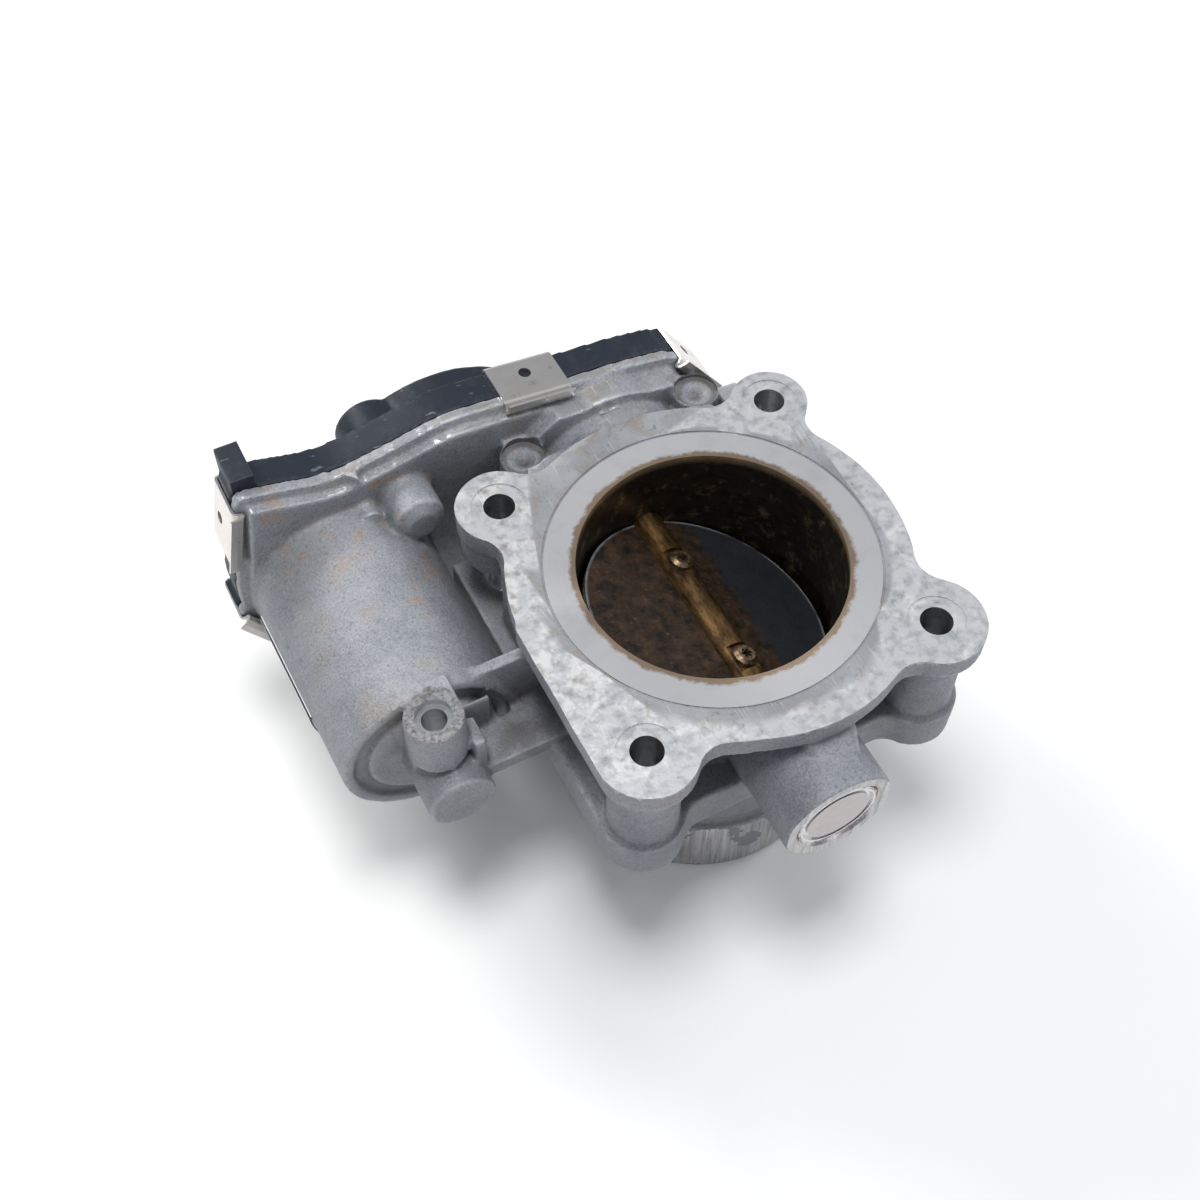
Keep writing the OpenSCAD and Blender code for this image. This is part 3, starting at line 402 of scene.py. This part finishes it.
def plug_material():
    """The pressed end plug: duller pinkish middle, bright edge, a line of rust round it."""
    s = Shader("pressed_plug")
    r = s.radius(*SHAFT_AXIS, "xz")
    middle = s.step(r, 7.7, 7.4)
    bright = s.mix(s.noise(2, 3), (0.60, 0.60, 0.61), (0.78, 0.78, 0.79))
    flat = s.mix(s.noise(1.6, 4, 0.6, stretch=(1, 1, 3)), (0.42, 0.375, 0.37), (0.60, 0.555, 0.55))
    colour = s.mix(middle, bright, flat)
    rust = s.times(s.step(s.math("ABSOLUTE", s.minus(r, 9.5)), 0.5, 0.1),
                  s.step(s.noise(2, 4, 0.6, seed=3), 0.42, 0.6))
    colour = s.mix(rust, colour, (0.22, 0.12, 0.07))
    return s.finish(colour, s.plus(s.times(middle, 0.12), 0.16), 0.95,
                    s.noise(0.5, 3, 0.6), 0.012)


def plate_material():
    """The butterfly plate: brown carbon crust on one half, a thinner film with a painted blue-black
    reflection on the other, a painted highlight round the rim.
    """
    s = Shader("sooted_plate")
    ragged_x = s.plus(s.x, s.times(s.minus(s.noise(7, 5, 0.7), 0.5), 12.0))
    film = s.step(ragged_x, 9.0, 11.0)
    clots = s.step(s.noise(3.4, 7, 0.75, seed=3), 0.38, 0.66)
    crust = s.mix(clots, (0.005, 0.0034, 0.0025), (0.060, 0.033, 0.017))
    specks = s.step(s.noise(0.9, 3, 0.6, seed=8), 0.64, 0.70)
    crust = s.mix(s.times(specks, 0.4), crust, (0.17, 0.12, 0.08))
    # The thinner film on this half is real; its blue-black tint is a painted reflection.
    blue = s.mix(s.noise(6, 4, 0.6, seed=9), (0.007, 0.008, 0.0095), (0.026, 0.031, 0.038))
    colour = s.mix(film, crust, blue)
    # Painted highlight: a paler band round the rim of the plate.
    edge = s.step(s.distance((0, 0, SHAFT_AXIS[1])), 29.0, 29.5)
    rim = s.times(edge, s.step(s.noise(6, 4), 0.35, 0.55))
    colour = s.mix(s.times(rim, 0.8), colour, (0.20, 0.21, 0.22))
    height = s.plus(s.noise(1.2, 5, 0.7), s.times(s.noise(0.3, 2), 0.4))
    return s.finish(colour, s.step(s.noise(4, 4), -0.9, 1.6), 0.1, height, 0.2, 0.25)


def shaft_material():
    """Steel under brown oil varnish, streaked along its length."""
    s = Shader("varnished_shaft")
    streak = s.noise(2.2, 5, 0.7, stretch=(1, 0.22, 1), seed=3)
    colour = s.mix(s.step(streak, 0.32, 0.66), (0.030, 0.014, 0.006), (0.26, 0.15, 0.055))
    dark = s.step(s.noise(4, 5, 0.7, stretch=(1, 0.5, 1), seed=6), 0.46, 0.66)
    colour = s.mix(s.times(dark, 0.9), colour, (0.018, 0.010, 0.006))
    height = s.noise(0.8, 4, 0.65, stretch=(1, 0.4, 1))
    return s.finish(colour, s.plus(s.times(streak, 0.3), 0.22), 0.75, height, 0.08)


def plain_look(name, dark, light, rough, metal=0.9, size=2.0, stretch=(1, 1, 1), bump=0.02):
    """An uneven colour between dark and light, for small and hidden pieces."""
    s = Shader(name)
    n = s.noise(size, 4, 0.6, stretch=stretch)
    colour = s.mix(s.step(n, 0.3, 0.7), dark, light)
    return s.finish(colour, s.plus(s.times(n, 0.2), rough), metal,
                    s.noise(size * 0.3, 3, 0.6, stretch=stretch), bump)


def label_material():
    """A blank white sticker, a little grubby."""
    s = Shader("blank_label")
    colour = s.mix(s.step(s.noise(5, 5, 0.7), 0.4, 0.75), (0.80, 0.80, 0.79), (0.66, 0.66, 0.65))
    grime_and_painted_shade = s.step(s.noise(2, 5, 0.7, seed=3), 0.62, 0.78)
    colour = s.mix(s.times(grime_and_painted_shade, 0.4), colour, (0.42, 0.40, 0.37))
    return s.finish(colour, 0.42, 0.0, s.noise(0.6, 3), 0.01)


CAST = cast_material()
FACE = flange_material()
LAND = land_material()
BORE = bore_material()
DRILLED = drilled_material()
TURNED = turned_material()


# ------------------------------------------------------------------ mesh helpers

def spin(profile, axis="z", centre=(0, 0), steps=96):
    """A solid of revolution. It closes where its profile's ends lie on the axis, or is a ring."""
    poles = profile[0][0] == 0
    rings, verts, faces = [], [], []
    for r, h in profile:
        if r == 0:
            rings.append([len(verts)] * steps)
            verts.append((0, 0, h))
        else:
            rings.append(list(range(len(verts), len(verts) + steps)))
            turns = [2 * math.pi * i / steps for i in range(steps)]
            verts += [(r * math.cos(t), r * math.sin(t), h) for t in turns]
    pairs = list(zip(rings, rings[1:])) + ([] if poles else [(rings[-1], rings[0])])
    for low, high in pairs:
        for i in range(steps):
            j = (i + 1) % steps
            face = []
            for v in (low[i], low[j], high[j], high[i]):
                if v not in face:
                    face.append(v)
            if len(face) > 2:
                faces.append(face)
    v = np.array(verts, float)
    if axis == "y":
        v = v[:, [0, 2, 1]] + (centre[0], 0, centre[1])
    else:
        v = v + (centre[0], centre[1], 0)
    return v, faces


def rod(r, low, high, axis="z", centre=(0, 0), steps=64):
    return spin([(0, low), (r, low), (r, high), (0, high)], axis, centre, steps)


def ring(r_in, r_out, low, high, steps=128):
    return spin([(r_in, low), (r_out, low), (r_out, high), (r_in, high)], steps=steps)


def block(low, high):
    v = np.array([[(low, high)[i][0], (low, high)[j][1], (low, high)[k][2]]
                  for i in (0, 1) for j in (0, 1) for k in (0, 1)], float)
    return v, [[0, 1, 3, 2], [4, 6, 7, 5], [0, 4, 5, 1], [2, 3, 7, 6], [0, 2, 6, 4], [1, 5, 7, 3]]


def mesh_of(name, parts):
    """One mesh from several closed shapes in mm, with their normals outwards."""
    mesh = bpy.data.meshes.new(name)
    verts, faces = [], []
    for v, f in parts:
        shift = len(verts)
        verts += (np.asarray(v) * MM).tolist()
        faces += [[i + shift for i in face] for face in f]
    mesh.from_pydata(verts, [], faces)
    bm = bmesh.new()
    bm.from_mesh(mesh)
    bmesh.ops.recalc_face_normals(bm, faces=bm.faces)
    bm.to_mesh(mesh)
    bm.free()
    return mesh


def new_object(name, mesh):
    obj = bpy.data.objects.new(name, mesh)
    scene.collection.objects.link(obj)
    return obj


def node_shape(node):
    """A CAD node's mesh as vertices in mm and faces."""
    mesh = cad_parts[node].data
    v = np.empty(len(mesh.vertices) * 3)
    mesh.vertices.foreach_get("co", v)
    return v.reshape(-1, 3) / MM, [list(p.vertices) for p in mesh.polygons]


def raised_faces(node, height, low, high):
    """Prisms that stand on a node's flat faces at z = height."""
    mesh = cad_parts[node].data
    picked = [p for p in mesh.polygons
              if p.normal.z > 0.99 and abs(p.center.z / MM - height) < 0.02]
    index, edges = {}, []
    for p in picked:
        for v in p.vertices:
            index.setdefault(v, len(index))
        for a, b in zip(p.vertices, list(p.vertices[1:]) + [p.vertices[0]]):
            edges.append((a, b))
    n = len(index)
    flat = np.array([mesh.vertices[v].co[:2] for v in index]) / MM
    verts = np.vstack([np.c_[flat, np.full(n, low)], np.c_[flat, np.full(n, high)]])
    faces = [[index[v] + n for v in p.vertices] for p in picked]
    faces += [[index[v] for v in reversed(p.vertices)] for p in picked]
    both = set(edges)
    faces += [[index[a], index[b], index[b] + n, index[a] + n]
              for a, b in edges if (b, a) not in both]
    return verts, faces


def evaluated(obj, name):
    """A new object with the mesh that obj's modifiers make. The old object goes."""
    deps = bpy.context.evaluated_depsgraph_get()
    mesh = bpy.data.meshes.new_from_object(obj.evaluated_get(deps))
    bpy.data.objects.remove(obj)
    return new_object(name, mesh)


def soften(name, parts, voxel, rounds, keep, ripple=0.0):
    """One skin over all the shapes, smoothed like a casting, with an uneven surface."""
    obj = new_object(name + "_raw", mesh_of(name + "_raw", parts))
    m = obj.modifiers.new("skin", "REMESH")
    m.mode, m.voxel_size, m.adaptivity = "VOXEL", voxel * MM, 0.0
    m = obj.modifiers.new("smooth", "SMOOTH")
    m.factor, m.iterations = 0.5, rounds
    if ripple:
        clouds = bpy.data.textures.new(name + "_clouds", "CLOUDS")
        clouds.noise_scale, clouds.noise_depth = 0.009, 3
        m = obj.modifiers.new("ripple", "DISPLACE")
        m.texture, m.strength, m.mid_level = clouds, ripple * MM, 0.5
        m.texture_coords = "LOCAL"
    m = obj.modifiers.new("thin", "DECIMATE")
    m.ratio = keep
    return evaluated(obj, name)


def machined(obj, name, cuts):
    """Cuts with true edges, made after the casting is smooth."""
    tools = []
    for i, parts in enumerate(cuts):
        tool = new_object(f"{name}_tool{i}", mesh_of(f"{name}_tool{i}", parts))
        tool.hide_render = True
        m = obj.modifiers.new(f"cut{i}", "BOOLEAN")
        m.operation, m.object, m.solver = "DIFFERENCE", tool, "MANIFOLD"
        tools.append(tool)
    done = evaluated(obj, name)
    for t in tools:
        bpy.data.objects.remove(t)
    return done


def add_relief(obj, reach):
    """A point attribute: 0.5 on flat skin, lower in hollows and higher on edges."""
    mesh = obj.data
    n = len(mesh.vertices)
    co = np.empty(n * 3)
    mesh.vertices.foreach_get("co", co)
    co = co.reshape(-1, 3) / MM
    normal = np.empty(n * 3)
    mesh.vertices.foreach_get("normal", normal)
    normal = normal.reshape(-1, 3)
    edge = np.empty(len(mesh.edges) * 2, dtype=np.int32)
    mesh.edges.foreach_get("vertices", edge)
    a, b = edge.reshape(-1, 2).T
    count = np.bincount(a, minlength=n) + np.bincount(b, minlength=n)
    soft = co.copy()
    for _ in range(reach):
        total = np.stack([np.bincount(a, soft[b, k], n) + np.bincount(b, soft[a, k], n)
                          for k in range(3)], 1)
        soft = total / np.maximum(count, 1)[:, None]
    value = 0.5 + 0.28 * ((co - soft) * normal).sum(1)
    layer = mesh.attributes.new("relief", "FLOAT", "POINT")
    layer.data.foreach_set("value", np.clip(value, 0, 1).astype(np.float32))


def shade(obj, angle):
    """Smooth shading, with edges sharper than the angle kept crisp."""
    obj.data.shade_smooth()
    obj.data.set_sharp_from_angle(angle=math.radians(angle))


# ------------------------------------------------------------------ housing

def housing_stock():
    """The CAD housing with metal added wherever a cut follows, so that each cut has a true edge."""
    stock = [node_shape("throttle_housing"), raised_faces("throttle_housing", 0, -2, STOCK_TOP),
             ring(28.6, 38.5, -3, STOCK_TOP), ring(28.6, 31.6, -83, -1)]
    for x, y in BOLTS:
        stock.append(rod(6.8, -13 if y > 0 else -36.5, STOCK_TOP, centre=(x, y)))
    stock += [rod(5.6, -8, -3.2, centre=c) for c in STUDS]
    stock.append(rod(12.2, -59.5, -52, "y", SHAFT_AXIS))
    stock.append(rod(5.6, -13, -4.4, centre=BRACKET))
    stock.append(rod(6.0, -7, -4.4, centre=BRACKET))
    return stock


def housing_cuts():
    """The shapes that each boolean takes away. Shapes within one cut don't cross."""
    dimple = [(0, -6.4), (0.9, -6.0), (2.2, -5.1), (3.0, -4.5), (3.0, -4), (0, -4)]
    plug_seat = [(0, -58), (10.6, -58), (10.6, -57.21), (PLUG_SEAT_R, -56.3), (0, -56.3)]
    return [
        [block((-49.5, -80, 0), (80, 48.5, 20))],
        [rod(BORE_R, -90, 5, steps=160), *[rod(BOLT_R, -45, 5, centre=c) for c in BOLTS],
         rod(2.8, -16, -3, centre=BRACKET), rod(PLUG_SEAT_R, -70, -51, "y", SHAFT_AXIS, 96)],
        [*[rod(6.4, -0.25, 5, centre=c) for c in BOLTS], ring(*GROOVE, -0.25, 5, steps=160),
         block((-80, -15, BRACKET_TOP), (-60, 6, 5)),
         ring(SPIGOT_R, 60, -90, SPIGOT_TOP, steps=160)],
        [rod(4.1, -7.6, -3, centre=BRACKET), block((-20, -70, -40), (20, BOSS_FACE, 0)),
         rod(4.4, -58, -31, "y", SHAFT_AXIS), block((-60, -60, -110), (60, 60, SPIGOT_END))],
        [rod(5.3, -4.6, -1, centre=c) for c in STUDS],
        [spin(dimple, centre=c) for c in STUDS],
        [spin(plug_seat, "y", SHAFT_AXIS, 96), rod(4.4, 28, 46, "y", SHAFT_AXIS)],
    ]


def housing_faces(mesh):
    """Each face's material slot, from where the face lies and which way it looks."""
    cast, face, land, bore, drilled, turned = range(6)
    n = len(mesh.polygons)
    c, nor = np.empty(n * 3), np.empty(n * 3)
    mesh.polygons.foreach_get("center", c)
    mesh.polygons.foreach_get("normal", nor)
    c, nor = c.reshape(-1, 3) / MM, nor.reshape(-1, 3)
    x, y, z = c.T
    up, wall = nor[:, 2] > 0.98, np.abs(nor[:, 2]) < 0.1
    r = np.hypot(x, y)
    pick = np.full(n, cast, dtype=np.int32)
    pick[up & (z > -0.35)] = face
    pick[up & (z > -0.05) & (r < 37.2)] = land
    pick[(np.abs(r - BORE_R) < 0.06) & wall] = bore
    for bolt in BOLTS:
        d = np.hypot(x - bolt[0], y - bolt[1])
        pick[(np.abs(d - BOLT_R) < 0.05) & wall] = drilled
    d = np.hypot(x - BRACKET[0], y - BRACKET[1])
    pick[(d < 4.15) & (z > -17) & (z < -5.9)] = drilled
    pick[up & (np.abs(z - BRACKET_TOP) < 0.03) & (d < 8)] = turned
    pick[(np.abs(r - SPIGOT_R) < 0.04) & (z < -61.6)] = turned
    pick[z < -81.95] = turned
    d = np.hypot(x - SHAFT_AXIS[0], z - SHAFT_AXIS[1])
    pick[(d < 13) & (y < -51.5) & ((d < 9.75) | (nor[:, 1] < -0.6))] = turned
    return pick


def housing():
    """The casting: a smooth, slightly uneven skin with milled, bored and drilled faces."""
    voxel, keep = ((0.55, 0.4))
    obj = soften("casting", housing_stock(), voxel, 9, keep, 0.35)
    obj = machined(obj, "casting", housing_cuts())
    shade(obj, 32)
    add_relief(obj, 7)
    mesh = obj.data
    mesh.materials.clear()
    for m in (CAST, FACE, LAND, BORE, DRILLED, TURNED):
        mesh.materials.append(m)
    mesh.polygons.foreach_set("material_index", housing_faces(mesh))
    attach(obj, "housing")
    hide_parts("throttle_housing")


def cover():
    """The clipped black cover, with its moulded edges rounded."""
    voxel, rounds, keep = ((0.5, 4, 0.35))
    obj = soften("cover_moulding", [node_shape("gear_cover")], voxel, rounds, keep)
    shade(obj, 40)
    add_relief(obj, 7)
    obj.data.materials.clear()
    obj.data.materials.append(cover_material())
    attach(obj, "housing")
    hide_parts("gear_cover")


housing()
cover()


# ------------------------------------------------------------------ CAD nodes that stay

def dress(node, material, bevel=0.0, angle=30):
    """A CAD node's material and, if bevel is set, rounded edges that many mm wide."""
    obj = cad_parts[node]
    if not obj.material_slots:
        raise SystemExit("no material slot on " + node)
    for s in obj.material_slots:
        s.link = "OBJECT"
        s.material = material
    if bevel:
        m = obj.modifiers.new("edge", "BEVEL")
        m.width, m.segments, m.limit_method = bevel * MM, 2, "ANGLE"
        m.angle_limit = math.radians(angle)


STEEL = plain_look("ground_steel", (0.50, 0.505, 0.52), (0.72, 0.725, 0.74), 0.14, size=3.0)
ZINC = plain_look("zinc_steel", (0.44, 0.44, 0.43), (0.64, 0.64, 0.62), 0.26)
DRAWN = plain_look("drawn_steel", (0.38, 0.39, 0.41), (0.58, 0.59, 0.61), 0.24, size=5,
                   stretch=(1, 0.2, 1))
MAGNET = plain_look("sintered_magnet", (0.09, 0.09, 0.095), (0.15, 0.15, 0.16), 0.45, 0.4, 0.8,
                    bump=0.05)
BLACK = plain_look("black_moulding", (0.012, 0.012, 0.013), (0.030, 0.030, 0.032), 0.40, 0.0, 1.2)
CARBON = plain_look("brush_carbon_look", (0.025, 0.025, 0.027), (0.060, 0.060, 0.063), 0.5, 0.2,
                    0.6)
BRONZE = plain_look("sintered_bronze", (0.38, 0.25, 0.11), (0.58, 0.42, 0.21), 0.35, 0.85, 0.7,
                    bump=0.04)
BRASS = plain_look("stamped_brass", (0.56, 0.40, 0.16), (0.78, 0.60, 0.28), 0.2)
SPRING = plain_look("spring_wire", (0.20, 0.20, 0.215), (0.36, 0.36, 0.38), 0.22, size=1.0)
NYLON = plain_look("natural_nylon", (0.56, 0.52, 0.43), (0.68, 0.64, 0.55), 0.35, 0.0, 4.0)
COPPER = plain_look("enamelled_copper", (0.40, 0.15, 0.045), (0.66, 0.30, 0.10), 0.22, 0.8, 0.6,
                    stretch=(1, 0.2, 1), bump=0.08)
CORE = plain_look("laminations", (0.20, 0.20, 0.21), (0.42, 0.42, 0.44), 0.3, 0.8, 0.5,
                  stretch=(0.02, 1, 0.02), bump=0.06)
BOARD = plain_look("board_lacquer", (0.012, 0.075, 0.035), (0.03, 0.14, 0.07), 0.25, 0.0, 2.5)
RUBBER = plain_look("seal_rubber", (0.014, 0.014, 0.014), (0.030, 0.029, 0.028), 0.55, 0.0, 1.0)
SCREW = plain_look("blackened_screw", (0.055, 0.036, 0.020), (0.30, 0.22, 0.13), 0.25, 0.8, 1.1,
                   bump=0.05)
CHIP = plain_look("chip_package", (0.012, 0.012, 0.013), (0.026, 0.026, 0.028), 0.45, 0.0, 0.8)

dress("cover_clips", clip_material(), 0.12, 25)
dress("end_plug", plug_material(), 0.25, 35)
dress("throttle_plate", plate_material(), 0.3, 40)
dress("throttle_shaft", shaft_material(), 0.25, 40)
dress("motor_label", label_material())
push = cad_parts["motor_label"].modifiers.new("proud", "DISPLACE")
push.strength, push.mid_level = 0.35 * MM, 0.0
for look, names in (
        (STEEL, ("intermediate_pin", "bearing_outer_race", "bearing_inner_race",
                 "bearing_balls", "needle_cup", "needle_rollers", "motor_shaft")),
        (ZINC, ("board_screws", "motor_screws", "stop_screw", "sector_insert")),
        (DRAWN, ("motor_can",)), (MAGNET, ("motor_magnets", "sensor_magnet")),
        (BLACK, ("motor_end_cap",)),
        (CARBON, ("motor_brushes",)), (BRONZE, ("motor_bushes", "bearing_cage")),
        (BRASS, ("motor_contacts", "connector_terminals", "motor_pinion")),
        (SPRING, ("motor_wave_washer", "bearing_circlip", "return_spring")),
        (NYLON, ("sector_gear", "intermediate_gear")), (COPPER, ("rotor_windings", "commutator")),
        (CORE, ("rotor_core",)), (BOARD, ("sensor_board",)), (CHIP, ("sensor_chips",)),
        (RUBBER, ("cover_gasket", "shaft_seals")), (SCREW, ("plate_screws",))):
    for name in names:
        dress(name, look)


# ------------------------------------------------------------------ floor

def floor():
    """A plain pale floor under the spigot."""
    s = Shader("paper_floor")
    colour = s.mix(s.noise(60, 3), (0.90, 0.90, 0.895), (0.93, 0.93, 0.925))
    look = s.finish(colour, 0.7, 0.0, s.noise(1.5, 3), 0.02)
    slab = block((-3000, -3000, -92), (3000, 3000, FLOOR_TOP))
    obj = new_object("floor", mesh_of("floor", [slab]))
    obj.data.materials.append(look)


floor()
